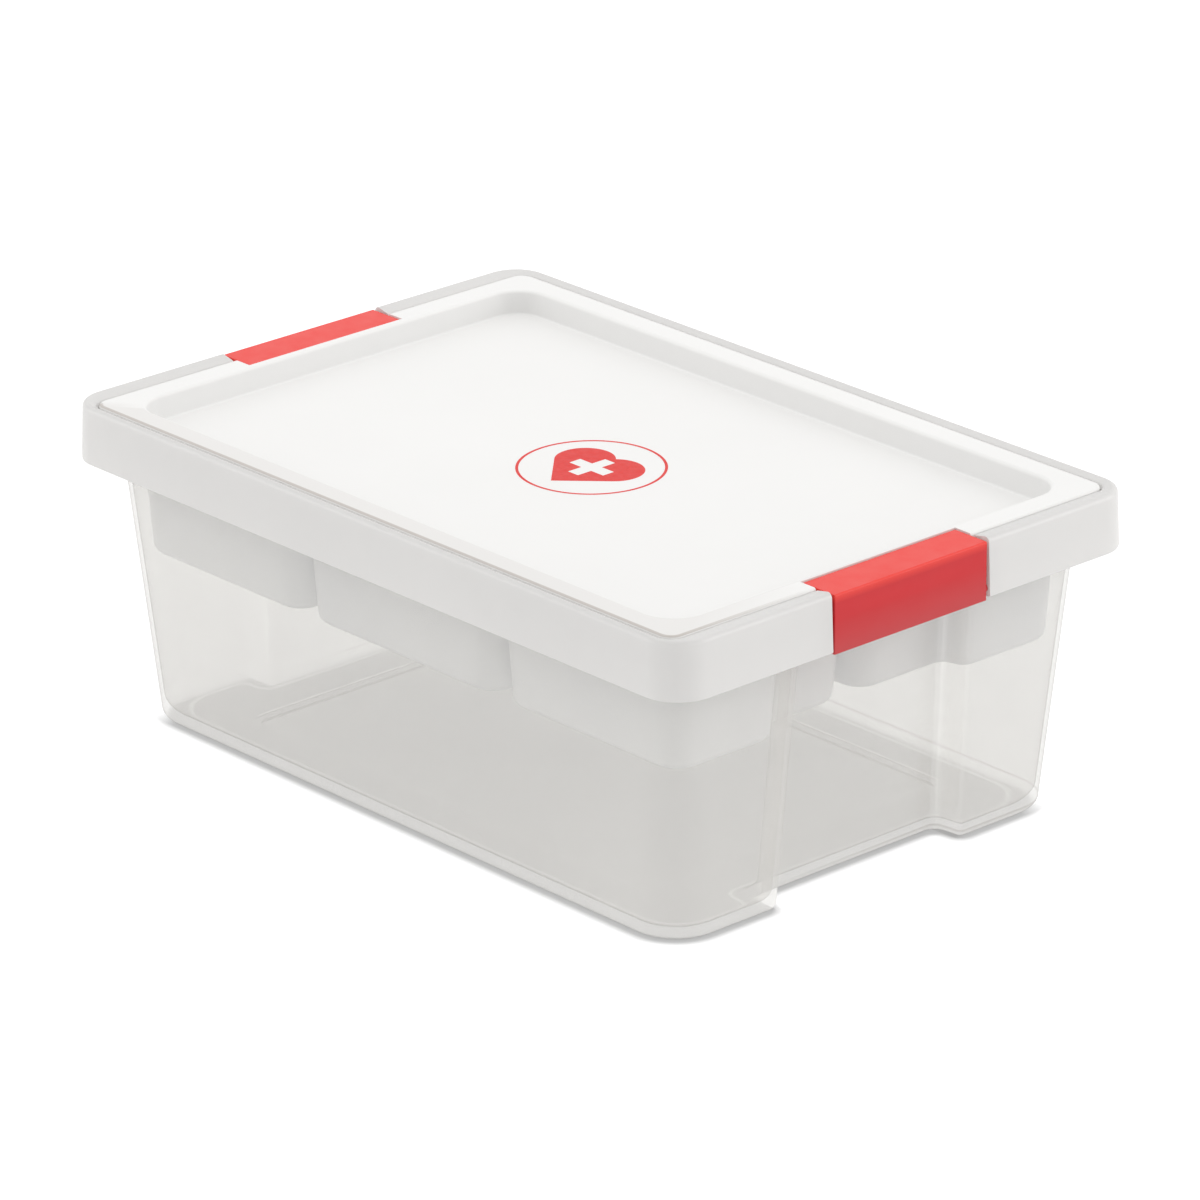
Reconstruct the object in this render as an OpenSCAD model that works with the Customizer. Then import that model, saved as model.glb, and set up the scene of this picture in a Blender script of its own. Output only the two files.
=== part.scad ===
// First aid storage box: a clear tub with corner feet and a turned-down collar, a tray of six
// cups that hangs on a ledge inside the rim, a lid with a sunken well, and a hinged latch at
// the middle of each short end. X runs along the length, -Y is the front, Z is up, and the
// origin is on the ground under the middle of the box.

/* [Tub] */
// Length of the tub at its base
base_l = 350; // [300:1:420]
// Width of the tub at its base
base_w = 229; // [190:1:290]
// How far each wall leans outward per millimetre of height
wall_lean = 0.083; // [0.07:0.001:0.095]
// Wall thickness of the tub
wall = 1.9; // [1.5:0.1:2.4]
// Floor thickness of the tub
floor_t = 2.4; // [1.8:0.1:3]
// Corner radius of the tub's walls in plan
corner_r = 20; // [14:1:26]
// Radius of the round edge under the tub
foot_edge_r = 3; // [1:0.5:5]
// Radius of the fillet between the floor and the walls, inside
floor_fillet_r = 8; // [4:1:12]
// Distance from the base's ends to the raised panel in the floor
panel_margin_x = 44; // [34:1:60]
// Distance from the base's long sides to the raised panel
panel_margin_y = 26.5; // [20:0.5:40]
// Height of the raised panel over the rest of the floor
panel_h = 1.6; // [0.8:0.1:2.4]

/* [End recesses] */
// Depth of the recess in each end wall
recess_d = 12; // [8:0.5:15]
// Width of each recess at the base
recess_w = 112; // [90:1:120]
// How much narrower each recess is at its top
recess_taper = 9; // [0:1:14]
// How far the top of each recess lies under the tray's ledge
recess_drop = 6.5; // [4:0.5:12]
// Corner radius inside each recess
recess_r = 6; // [3:0.5:8]
// How far each side of a recess spreads on its way out
recess_spread = 2.5; // [1:0.5:5]

/* [Collar] */
// Height of the collar from its lower edge to its top
collar_h = 26.7; // [25:0.1:34]
// How far the collar's lower edge stands out from the lid's seat at the ends
collar_reach_x = 10.25; // [10:0.05:14]
// How far the collar's lower edge stands out from the lid's seat at the long sides
collar_reach_y = 6.5; // [6:0.1:12]
// Corner radius of the collar at its lower edge
collar_r = 18; // [15:0.5:20]
// How far the collar draws in from its lower edge to its top
collar_flare = 2.2; // [1:0.1:2.6]
// Thickness of the collar
collar_t = 2.2; // [1.6:0.1:2.6]
// Radius of the collar's round top edge
collar_edge_r = 3.5; // [2.5:0.1:3.8]
// How far the collar's top stands over the lid
collar_over = 1.2; // [0:0.1:2]

/* [Lid] */
// Height of the lid's top above the ground
lid_z = 147.5; // [130:0.5:170]
// Corner radius of the lid
lid_r = 7; // [5:0.5:9]
// Thickness of the lid
lid_t = 1.8; // [1.4:0.1:2.2]
// Width of the raised rim round the lid's well
rim_w = 12.3; // [11.5:0.1:14]
// Depth of the well
well_d = 10.5; // [9:0.1:11]
// How far the well's walls lean in over their height
well_lean = 2.6; // [1:0.1:4]
// Corner radius of the well at its top
well_r = 16; // [12:0.5:20]
// Height of the lid's skirt
skirt_h = 8; // [6:0.1:8.5]
// Radius of the rim's round edges
lid_edge_r = 1.2; // [0.6:0.1:1.4]
// Gap between the lid and the tub's rim all round
lid_gap = 1; // [0.6:0.1:1.2]
// Width of the ledge that the lid's skirt stands on
lid_ledge = 2.5; // [2.2:0.1:2.8]

/* [Tray] */
// Width of the ledge under the tray's deck at the ends
tray_ledge_x = 3.1; // [2:0.1:4]
// Width of the ledge under the tray's deck at the long sides
tray_ledge_y = 2.3; // [1.6:0.1:4]
// Thickness of the tray's deck
deck_t = 1.5; // [1.2:0.1:2]
// Gap between the tray's deck and the underside of the lid
deck_gap = 0.2; // [0.2:0.1:1]
// Gap between the tray's edge and the tub's rim
tray_gap = 0.5; // [0.3:0.1:0.7]
// Depth of the cups from the top of the deck to their undersides
cup_h = 57; // [30:1:70]
// Gap between the cups' undersides and the tub's end walls
cup_wall_gap_x = 4.4; // [3.5:0.1:8]
// Gap between the cups' undersides and the tub's long walls
cup_wall_gap_y = 7; // [4:0.1:10]
// Gap between neighbouring cups of one row, at their undersides
cup_gap_x = 6; // [5:0.5:12]
// Gap between the two rows, at the cups' undersides
cup_gap_y = 9; // [6:0.5:14]
// Length of the middle cup of each row, at its underside
middle_cup_l = 122; // [100:1:140]
// Corner radius of a cup at its underside
cup_r = 12; // [8:0.5:14]
// How far the cups' walls lean outward per millimetre of height
cup_lean = 0.06; // [0.03:0.001:0.06]
// Wall thickness of the cups
cup_t = 1.4; // [1:0.1:1.8]
// Room between the end cups and the tub's end recesses
cup_recess_gap = 4.4; // [2:0.1:6]

/* [Latches] */
// Width of each latch
latch_w = 89; // [70:1:92]
// Thickness of the latch's top flange
latch_t = 2.2; // [1.8:0.1:2.6]
// Thickness of the latch's front flap
flap_t = 2.8; // [2.2:0.1:3.2]
// How far the flange reaches in from the flap's outer face
flange_l = 19.3; // [17:0.1:20.5]
// How far the flap's outer face lies inside the collar's end
flap_inset = 0.7; // [0.4:0.1:1.2]
// Gap between each edge of the flap and the cheek of its notch
cheek_gap = 3; // [2:0.1:4]
// Thickness of the notch's cheeks
cheek_t = 2.5; // [2:0.1:3.5]
// Gap under the flange, over its seats
seat_gap = 0.2; // [0.1:0.05:0.4]
// Gap round the flange in the lid's seat
seat_side_gap = 0.8; // [0.4:0.1:1.2]
// Radius of the barrel along the flap's lower end
barrel_r = 2.4; // [2.1:0.1:2.8]
// Radius of the hinge pins
pin_r = 1.6; // [1.3:0.1:1.8]
// Radial clearance of the pins in their bores
pin_clear = 0.06; // [0.04:0.01:0.1]
// Height of the hinge pins over the collar's lower edge
pin_rise = 3.6; // [3.2:0.1:5]
// Depth of the catch rib under the flange
catch_h = 4; // [3:0.1:5]
// Thickness of the catch rib
catch_t = 1.4; // [1:0.1:1.8]
// Gap between the catch rib and the tub's rim
catch_gap = 0.25; // [0.15:0.05:0.5]
// Radius of the latch's round outer edge
latch_edge_r = 1; // [0.5:0.1:1.5]

/* [Printed badge] */
// Outer radius of the printed ring
ring_r = 33.4; // [28:0.1:40]
// Stroke width of the printed ring
ring_t = 1.3; // [0.8:0.1:2]
// Radius of each lobe of the heart
heart_r = 13.5; // [10:0.1:14.5]
// Span of the small plus in the heart
plus_l = 22; // [16:0.5:24]
// Stroke width of the small plus
plus_t = 6.5; // [4:0.1:8]
// Thickness of the printed film
film_t = 0.35; // [0.3:0.05:0.5]
// How far the film stands out of the lid
film_proud = 0.05; // [0.02:0.01:0.1]

/* [Hidden] */

eps = 0.02;
// how far a cutter runs past the face that it opens
cut = 1;
$fn = 64;
hull_fn = 40;

// heights that several pieces share
collar_top = lid_z + collar_over;
collar_z = collar_top - collar_h;
well_z = lid_z - well_d;
deck_z = well_z - lid_t - deck_gap;
tray_seat_z = deck_z - deck_t;
lid_seat_z = lid_z - skirt_h;
flange_z = lid_z - latch_t;
seat_z = flange_z - seat_gap;
cup_z = deck_z - cup_h;
recess_h = tray_seat_z - recess_drop;

// how far the tub's walls stand out at height z, over their size at the base
function lean_at(z) = wall_lean * z;
// how far a quarter-round edge of radius r draws in at height h over its lower tangent
function round_inset(r, h) = r - sqrt(max(0, r * r - (r - h) * (r - h)));
// half width of an end recess at height z
function recess_half(z) = recess_w / 2 - recess_taper / 2 * z / recess_h;

// plan sizes that several pieces share, from the walls outward
tray_pocket_l = base_l + 2 * (lean_at(tray_seat_z) - wall + tray_ledge_x);
tray_pocket_w = base_w + 2 * (lean_at(tray_seat_z) - wall + tray_ledge_y);
pocket_l = tray_pocket_l + 2 * lid_ledge;
pocket_w = tray_pocket_w + 2 * lid_ledge;
pocket_r = lid_r + lid_gap;
tray_pocket_r = pocket_r - lid_ledge;
lid_l = pocket_l - 2 * lid_gap;
lid_w = pocket_w - 2 * lid_gap;
collar_l = pocket_l + 2 * collar_reach_x;
collar_w = pocket_w + 2 * collar_reach_y;
collar_top_r = collar_r - collar_flare;
leg_x = pocket_l / 2 + wall;

// latch places
flap_x = collar_l / 2 - flap_inset;
flange_x = flap_x - flange_l;
pin_x = flap_x - barrel_r;
pin_z = collar_z + pin_rise;
notch_w = latch_w + 2 * cheek_gap;
bore_l = notch_w + 2 * cheek_t + eps;
pin_l = notch_w + 2 * cheek_t - 2 * pin_clear;
catch_x = leg_x + catch_gap;

// cup places
cups_l = base_l + 2 * (lean_at(cup_z) - wall - cup_wall_gap_x);
cups_w = base_w + 2 * (lean_at(cup_z) - wall - cup_wall_gap_y);
end_cup_l = (cups_l - middle_cup_l) / 2 - cup_gap_x;
row_w = (cups_w - cup_gap_y) / 2;
cup_x = (middle_cup_l + end_cup_l) / 2 + cup_gap_x;
cup_y = (row_w + cup_gap_y) / 2;

panel_l = base_l - 2 * panel_margin_x;
panel_w = base_w - 2 * panel_margin_y;

module rounded_rect(l, w, r) {
    square([l - 2 * r, w], center = true);
    square([l, w - 2 * r], center = true);
    for (x = [-1, 1], y = [-1, 1])
        translate([x * (l / 2 - r), y * (w / 2 - r)]) circle(r);
}

module slab(l, w, r, z) {
    translate([0, 0, z]) linear_extrude(eps) rounded_rect(l, w, r);
}

module block(l, w, r, z0, z1) {
    translate([0, 0, z0]) linear_extrude(z1 - z0) rounded_rect(l, w, r);
}

// sweeps a section round a rounded rectangle; the section's x is measured from the corner's centre
module sweep_round(l, w, r) {
    for (x = [0, 1], y = [0, 1])
        mirror([x, 0, 0]) mirror([0, y, 0])
            translate([l / 2 - r, w / 2 - r, 0]) rotate_extrude(angle = 90) children();
    for (x = [0, 1])
        mirror([x, 0, 0]) translate([l / 2 - r, w / 2 - r, 0])
            rotate([90, 0, 0]) linear_extrude(w - 2 * r) children();
    for (y = [0, 1])
        mirror([0, y, 0]) translate([r - l / 2, w / 2 - r, 0])
            rotate([90, 0, 90]) linear_extrude(l - 2 * r) children();
}

// a block whose walls lean outward by out over its height, with cone-shaped corners
module leaning_block(l, w, r, z0, z1, out) {
    sweep_round(l, w, r) polygon([[0, z0], [r, z0], [r + out, z1], [0, z1]]);
    translate([r - l / 2, r - w / 2, z0]) cube([l - 2 * r, w - 2 * r, z1 - z0]);
}

// the tub's walls as one solid, drawn in by inset, with a round lower edge of radius edge_r
module tub_form(inset, z0, z1, edge_r) {
    hull() {
        for (k = [0, 0.1, 0.35, 1]) {
            h = edge_r * k;
            grow = 2 * (lean_at(z0 + h) - inset - round_inset(edge_r, h));
            $fn = hull_fn;
            slab(base_l + grow, base_w + grow, corner_r - inset, z0 + h);
        }
        grow_top = 2 * (lean_at(z1) - inset);
        slab(base_l + grow_top, base_w + grow_top, corner_r - inset, z1 - eps, $fn = hull_fn);
    }
}

// the space taken out of the right end: its face keeps depth behind the wall, and its sides are
// drawn outward by grow
module recess_form(depth, grow, top) {
    hull() {
        for (z = [-eps, top - eps]) {
            face = base_l / 2 + lean_at(z) - depth;
            half = recess_half(z) + grow;
            $fn = hull_fn;
            for (s = [-1, 1]) {
                translate([face + recess_r, s * (half - recess_r - recess_spread), z])
                    cylinder(r = recess_r, h = eps);
                translate([face + depth + recess_d, s * half - eps, z]) cube([eps, 2 * eps, eps]);
            }
        }
    }
}

// the collar's section, from the corner's centre outward
module collar_outline(inset) {
    top = collar_top - inset;
    out = collar_top_r - inset;
    r = collar_edge_r - inset;
    difference() {
        polygon([[0, collar_z], [collar_r - inset, collar_z], [out, top - r], [out, top], [0, top]]);
        difference() {
            translate([out - r, top - r]) square(r + eps);
            translate([out - r, top - r]) circle(r);
        }
    }
}

module collar_section() {
    difference() {
        collar_outline(0);
        translate([0, -eps]) collar_outline(collar_t);
    }
}

module tub_collar() {
    sweep_round(collar_l, collar_w, collar_r) intersection() {
        collar_section();
        translate([collar_top_r - collar_edge_r, 0]) square([collar_r, collar_top + cut]);
    }
    inner = collar_flare + collar_edge_r - eps;
    block(collar_l - 2 * inner, collar_w - 2 * inner, collar_r - inner, collar_top - collar_t, collar_top);
}

// the two steps of the rim, which hold the tray's deck and the lid's skirt
module tub_rim() {
    block(tray_pocket_l + 2 * wall, tray_pocket_w + 2 * wall, tray_pocket_r + wall,
        tray_seat_z - wall, lid_seat_z);
    block(pocket_l + 2 * wall, pocket_w + 2 * wall, pocket_r + wall,
        lid_seat_z - wall, collar_top - collar_t + eps);
}

// plates that close the collar beside each latch and hold its pins
module tub_cheeks() {
    for (x = [0, 1], y = [0, 1])
        mirror([x, 0, 0]) mirror([0, y, 0])
            translate([collar_l / 2 - collar_r, notch_w / 2 + cheek_t, 0])
                rotate([90, 0, 0]) linear_extrude(cheek_t) intersection() {
                    collar_outline(0);
                    translate([base_l / 2 + lean_at(collar_z) - wall / 2 - collar_l / 2 + collar_r, 0])
                        square([collar_r * 2, collar_top]);
                }
}

module latch_notches() {
    for (x = [0, 1])
        mirror([x, 0, 0]) {
            translate([leg_x, -notch_w / 2, 0]) cube([collar_l, notch_w, collar_top + cut]);
            translate([flange_x - seat_side_gap, -notch_w / 2, seat_z]) cube([collar_l, notch_w, collar_top]);
            translate([pin_x, bore_l / 2, pin_z]) rotate([90, 0, 0])
                cylinder(r = pin_r + pin_clear, h = bore_l);
        }
}

module tub() {
    color([0.86, 0.85, 0.84, 0.55]) difference() {
        union() {
            difference() {
                tub_form(0, 0, tray_seat_z, foot_edge_r);
                for (x = [0, 1]) mirror([x, 0, 0]) recess_form(recess_d, 0, recess_h);
            }
            tub_rim();
            tub_collar();
            tub_cheeks();
        }
        difference() {
            tub_form(wall, floor_t, tray_seat_z + 2 * eps, floor_fillet_r);
            for (x = [0, 1]) mirror([x, 0, 0]) recess_form(recess_d + wall, wall, recess_h + wall);
            translate([-panel_l / 2, -panel_w / 2, 0]) cube([panel_l, panel_w, floor_t + panel_h]);
        }
        translate([-panel_l / 2 + wall, -panel_w / 2 + wall, -cut])
            cube([panel_l - 2 * wall, panel_w - 2 * wall, panel_h + cut]);
        block(tray_pocket_l, tray_pocket_w, tray_pocket_r, tray_seat_z, collar_top + cut);
        block(pocket_l, pocket_w, pocket_r, lid_seat_z, collar_top + cut);
        latch_notches();
    }
}

// the well as a solid, grown by grow all round
module well_form(grow) {
    out = well_lean;
    leaning_block(lid_l - 2 * rim_w - 2 * out + 2 * grow, lid_w - 2 * rim_w - 2 * out + 2 * grow,
        well_r - out + grow, well_z - grow, lid_z + (grow > 0 ? -lid_t / 2 : cut), out);
}

module lid_shell_section() {
    difference() {
        polygon([[0, lid_seat_z], [lid_r, lid_seat_z], [lid_r, lid_z], [0, lid_z]]);
        translate([lid_r - lid_edge_r, lid_z - lid_edge_r]) difference() {
            square(lid_edge_r + eps);
            circle(lid_edge_r);
        }
    }
}

module lid() {
    seat_l = latch_w + 2 * seat_side_gap;
    color([0.96, 0.96, 0.95]) difference() {
        union() {
            difference() {
                union() {
                    sweep_round(lid_l, lid_w, lid_r) lid_shell_section();
                    translate([lid_r - lid_l / 2, lid_r - lid_w / 2, lid_seat_z])
                        cube([lid_l - 2 * lid_r, lid_w - 2 * lid_r, skirt_h]);
                }
                block(lid_l - 2 * lid_t, lid_w - 2 * lid_t, lid_r - lid_t, lid_seat_z - cut, lid_z - lid_t);
            }
            well_form(lid_t);
            for (x = [0, 1])
                mirror([x, 0, 0]) translate([flange_x - seat_side_gap - lid_t, -seat_l / 2 - lid_t, seat_z - lid_t])
                    cube([lid_l / 2 - lid_t / 2 - flange_x + seat_side_gap + lid_t, seat_l + 2 * lid_t,
                        lid_z - lid_t / 2 - seat_z + lid_t]);
        }
        well_form(0);
        for (x = [0, 1])
            mirror([x, 0, 0]) translate([flange_x - seat_side_gap, -seat_l / 2, seat_z])
                cube([lid_l, seat_l, lid_z]);
        translate([0, 0, well_z - film_t + film_proud]) {
            linear_extrude(film_t + cut) ring_outline();
            linear_extrude(film_t + cut) heart_outline();
        }
    }
}

// all six cups as solids, drawn in by inset
module cups_form(inset) {
    z0 = cup_z + inset;
    base = -inset + cup_lean * inset;
    out = cup_lean * (deck_z + inset - z0);
    for (i = [-1, 0, 1], j = [-1, 1])
        translate([i * cup_x, j * cup_y, 0])
            leaning_block((i == 0 ? middle_cup_l : end_cup_l) + 2 * base, row_w + 2 * base,
                cup_r + base, z0, deck_z + (inset > 0 ? inset : 0), out);
}

module tray() {
    clear = recess_d + wall + cup_recess_gap;
    color([0.84, 0.85, 0.86, 0.6]) difference() {
        union() {
            block(tray_pocket_l - 2 * tray_gap, tray_pocket_w - 2 * tray_gap, tray_pocket_r - tray_gap,
                tray_seat_z, deck_z);
            difference() {
                cups_form(0);
                for (x = [0, 1]) mirror([x, 0, 0]) recess_form(clear, cup_recess_gap, tray_seat_z);
            }
        }
        difference() {
            cups_form(cup_t);
            for (x = [0, 1])
                mirror([x, 0, 0]) recess_form(clear + cup_t, cup_recess_gap + cup_t, deck_z + cut);
        }
    }
}

module latch() {
    difference() {
        union() {
            translate([flange_x, -latch_w / 2, flange_z]) cube([flange_l, latch_w, latch_t]);
            translate([flap_x - flap_t, -latch_w / 2, collar_z]) cube([flap_t, latch_w, lid_z - collar_z]);
            translate([catch_x, -latch_w / 2, flange_z - catch_h]) cube([catch_t, latch_w, catch_h + eps]);
            translate([pin_x, latch_w / 2, pin_z]) rotate([90, 0, 0]) cylinder(r = barrel_r, h = latch_w);
            translate([pin_x, pin_l / 2, pin_z]) rotate([90, 0, 0]) cylinder(r = pin_r, h = pin_l);
        }
        translate([flap_x - latch_edge_r, latch_w / 2 + cut, lid_z - latch_edge_r])
            rotate([90, 0, 0]) linear_extrude(latch_w + 2 * cut) difference() {
                square(latch_edge_r + cut);
                circle(latch_edge_r);
            }
    }
}

module latch_right() {
    color([0.87, 0.17, 0.16]) latch();
}

module latch_left() {
    color([0.87, 0.17, 0.16]) mirror([1, 0, 0]) latch();
}

module ring_outline() {
    difference() {
        circle(ring_r);
        circle(ring_r - ring_t);
    }
}

module heart_outline() {
    side = 2 * heart_r;
    drop = side * sqrt(2) / 4;
    difference() {
        translate([0, -drop / 2]) rotate(45) {
            translate([-side / 2, -side / 2]) square(side);
            translate([side / 2, 0]) circle(heart_r);
            translate([0, side / 2]) circle(heart_r);
        }
        square([plus_l, plus_t], center = true);
        square([plus_t, plus_l], center = true);
    }
}

module badge_ring() {
    color([0.86, 0.16, 0.15]) translate([0, 0, well_z - film_t + film_proud])
        linear_extrude(film_t) ring_outline();
}

module badge_heart() {
    color([0.86, 0.16, 0.15]) translate([0, 0, well_z - film_t + film_proud])
        linear_extrude(film_t) heart_outline();
}

tub();
lid();
tray();
latch_left();
latch_right();
badge_ring();
badge_heart();
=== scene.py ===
import math

import bmesh
import bpy
from bpy.props import FloatProperty, FloatVectorProperty, PointerProperty
from mathutils import Matrix, Vector


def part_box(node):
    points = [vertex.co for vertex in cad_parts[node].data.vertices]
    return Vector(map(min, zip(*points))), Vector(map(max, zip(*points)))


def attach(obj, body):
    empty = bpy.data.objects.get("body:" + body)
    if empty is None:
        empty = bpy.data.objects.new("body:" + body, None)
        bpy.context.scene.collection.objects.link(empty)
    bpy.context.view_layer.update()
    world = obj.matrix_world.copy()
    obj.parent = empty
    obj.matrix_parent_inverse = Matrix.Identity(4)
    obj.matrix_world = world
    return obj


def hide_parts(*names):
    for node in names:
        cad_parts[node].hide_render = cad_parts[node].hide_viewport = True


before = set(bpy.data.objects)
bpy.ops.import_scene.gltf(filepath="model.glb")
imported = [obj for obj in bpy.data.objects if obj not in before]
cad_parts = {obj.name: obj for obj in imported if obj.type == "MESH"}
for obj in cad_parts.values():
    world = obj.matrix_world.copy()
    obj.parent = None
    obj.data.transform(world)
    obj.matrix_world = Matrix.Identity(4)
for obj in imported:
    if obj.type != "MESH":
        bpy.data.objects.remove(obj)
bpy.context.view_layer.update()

bl_info = {
    "name": "First aid storage box",
    "version": (1, 0, 0),
    "blender": (4, 5, 0),
    "location": "3D View > Sidebar > First Aid Box",
    "description": "Builds a clear storage box with a cup tray, a sunken lid and red end latches",
    "category": "Object",
}

MM = 0.001
SHARP = math.radians(32)

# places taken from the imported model
TUB_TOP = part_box("tub")[1]
LID_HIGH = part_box("lid")[1]
TRAY_LOW, TRAY_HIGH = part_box("tray")
LATCH_LOW, LATCH_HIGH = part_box("latch_right")

# the tub: half its length and width at the base, and how far its walls lean out per height
BASE_X, BASE_Y = 176.0 * MM, 114.5 * MM
SIDE_LEAN, END_LEAN = 0.083, 0.0752
# the recess in each end: half its width at the base, how much that loses up to its top, and
# how far its sides splay
RECESS_HALF = 56.0 * MM
RECESS_TAPER = 4.5 * MM
RECESS_TOP = 127.0 * MM
RECESS_SPREAD = 2.5 * MM
# half the length and width of the floor's raised panel, and its height
PANEL_X, PANEL_Y, PANEL_RISE = 131.0 * MM, 88.0 * MM, 1.6 * MM

# the collar, and the pocket in it that holds the lid above and the tray below
COLLAR_EDGE = 122.0 * MM
COLLAR_CORNER = 18.0 * MM
POCKET_X = LID_HIGH.x + 1.0 * MM
POCKET_Y = LID_HIGH.y + 1.0 * MM
POCKET_R = 8.0 * MM
LEDGE = 2.5 * MM
TRAY_SEAT = TRAY_HIGH.z - 1.5 * MM
LID_SEAT = LID_HIGH.z - 8.0 * MM

# the latches, their notches in the collar and the plates beside them
LATCH_HALF = 44.5 * MM
LATCH_SILL = LATCH_HIGH.z - 2.4 * MM
NOTCH_HALF = 45.9 * MM
NOTCH_X = POCKET_X + 1.9 * MM
CHEEK = 4.1 * MM
PIN = Vector((196.93 * MM, 0, 125.6 * MM))
PIN_RADIUS, BORE_RADIUS, BARREL_RADIUS = 1.6 * MM, 1.66 * MM, 2.4 * MM

# six cups in three columns and two rows: half a middle cup's length, the gaps between cups,
# the lean of their walls, and the room they leave beside the end recess
CUP_MIDDLE = 61.0 * MM
CUP_GAP_X, CUP_GAP_Y = 6.0 * MM, 9.0 * MM
CUP_LEAN = 0.052
CUP_RECESS_GAP = 4.4 * MM

# the photograph's camera: turn about the upright, dip below the level, roll about the view
CAMERA_PLACE = Vector((2.1784, -1.9602, 1.2557))
CAMERA_TURN, CAMERA_DIP, CAMERA_ROLL = 0.83695, 0.383175, 0.006343

# vertex values of painted light: tub highlights above 0, tub shade below 0, lid shade above 0
PAINTED_LIGHT_LAYER = "painted_edge_light"


# ---- settings ----

def length(name, default, description):
    """A length setting in metres."""
    return FloatProperty(name=name, description=description, default=default, min=0.0,
                         unit="LENGTH", subtype="DISTANCE", precision=5)


def share(name, default, description):
    """A setting between 0 and 1."""
    return FloatProperty(name=name, description=description, default=default, min=0.0, max=1.0,
                         subtype="FACTOR")


def tint(name, default, description):
    """A colour setting."""
    return FloatVectorProperty(name=name, description=description, default=default, size=3,
                               min=0.0, max=1.0, subtype="COLOR")


class TubSettings(bpy.types.PropertyGroup):
    wall: length("Wall", 1.9 * MM, "Thickness of the tub's walls")
    floor: length("Floor", 2.4 * MM, "Thickness of the tub's floor")
    corner: length("Corner radius", 22 * MM, "Radius of the tub's upright corners")
    foot: length("Foot radius", 3.6 * MM, "Radius of the round edge under the tub")
    fillet: length("Floor fillet", 8.0 * MM, "Radius between the floor and the walls, inside")
    recess: length("End recess", 14.6 * MM, "Depth of the recess in each end wall")
    collar_wall: length("Collar wall", 2.2 * MM, "Thickness of the collar")
    flare: length("Collar flare", 1.0 * MM, "How far the collar spreads towards its lower edge")
    collar_round: length("Collar rounding", 2.4 * MM, "Radius of the collar's top edge")
    colour: tint("Colour", (0.876, 0.866, 0.853), "Colour of the milky plastic")
    haze: share("Haze", 0.2, "How much each surface of the clear plastic hides")
    milk: share("Collar milk", 1.0, "How much each surface of the collar hides")
    glow: share("Glow", 0.55, "Share of the light that the haze lets through")


class TraySettings(bpy.types.PropertyGroup):
    wall: length("Wall", 1.4 * MM, "Thickness of the cups' walls")
    corner: length("Corner radius", 12 * MM, "Radius of the cups' upright corners")
    bottom: length("Bottom radius", 4.5 * MM, "Radius of the round edge under each cup")
    colour: tint("Colour", (0.985, 0.99, 1.0), "Colour of the tray")
    haze: share("Haze", 1.0, "How much each surface of the tray hides")
    glow: share("Glow", 0.3, "Share of the light that the haze lets through")


class LidSettings(bpy.types.PropertyGroup):
    thickness: length("Thickness", 1.8 * MM, "Thickness of the lid")
    rim: length("Rim", 12.3 * MM, "Width of the raised rim round the well")
    well: length("Well depth", 10.5 * MM, "Depth of the sunken well")
    well_corner: length("Well corner", 16 * MM, "Corner radius of the well at its top")
    lean: length("Well lean", 2.6 * MM, "How far the well's walls lean in")
    edge: length("Edge radius", 1.2 * MM, "Radius of the rim's round edges")
    colour: tint("Colour", (0.87, 0.864, 0.85), "Colour of the lid")


class LatchSettings(bpy.types.PropertyGroup):
    flange: length("Flange thickness", 2.2 * MM, "Thickness of the latch's top flange")
    flap: length("Flap thickness", 2.8 * MM, "Thickness of the latch's front flap")
    edge: length("Edge radius", 0.35 * MM, "Radius of the latch's edges")
    colour: tint("Colour", (0.605, 0.016, 0.022), "Colour of the latches")


class BadgeSettings(bpy.types.PropertyGroup):
    colour: tint("Colour", (0.72, 0.04, 0.035), "Colour of the printed badge")


class StudioSettings(bpy.types.PropertyGroup):
    sky: FloatProperty(name="Sky", description="Strength of the soft light from all round",
                       default=0.85, min=0.0, max=4.0)
    lamp: FloatProperty(name="Lamp", description="Power of the large lamp overhead",
                        default=4.0, min=0.0, max=200.0, unit="POWER")
    left: FloatProperty(name="Left lamp", description="Power of the lamp left of the camera",
                        default=4.0, min=0.0, max=200.0, unit="POWER")
    right: FloatProperty(name="Right lamp", description="Power of the lamp right of the camera",
                         default=6.5, min=0.0, max=200.0, unit="POWER")
    lens: FloatProperty(name="Lens", description="Focal length of the camera",
                        default=215.3775, min=20.0, max=400.0, unit="CAMERA")
    floor: tint("Floor colour", (0.3, 0.3, 0.3), "Colour of the floor")
    lift: share("Floor lift", 0.875, "Brightness added where the floor is seen")
    bounce: share("Floor bounce", 0.5, "Brightness that the floor adds to the light on the box")
    shelter: share("Shelter", 0.7, "Share of the floor's added brightness left under the box")


GROUPS = {"box_tub": TubSettings, "box_tray": TraySettings, "box_lid": LidSettings,
          "box_latch": LatchSettings, "box_badge": BadgeSettings, "box_studio": StudioSettings}


# ---- modelling helpers ----

def outline(bm, corners, z):
    """Adds a closed outline with rounded corners at height z, and returns its face.
    Each corner is x, y, radius and number of segments."""
    before = set(bm.faces)
    verts = [bm.verts.new((x, y, z)) for x, y, _, _ in corners]
    bm.faces.new(verts)
    for radius, segments in sorted({c[2:] for c in corners}):
        picked = [v for v, c in zip(verts, corners) if c[2:] == (radius, segments)]
        bmesh.ops.bevel(bm, geom=picked, offset=radius, offset_type="OFFSET", segments=segments,
                        profile=0.5, affect="VERTICES", material=-1, clamp_overlap=False)
    made = [f for f in bm.faces if f not in before]
    if len(made) != 1:
        raise RuntimeError(f"an outline at {z} came out as {len(made)} faces")
    return made[0]


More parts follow.
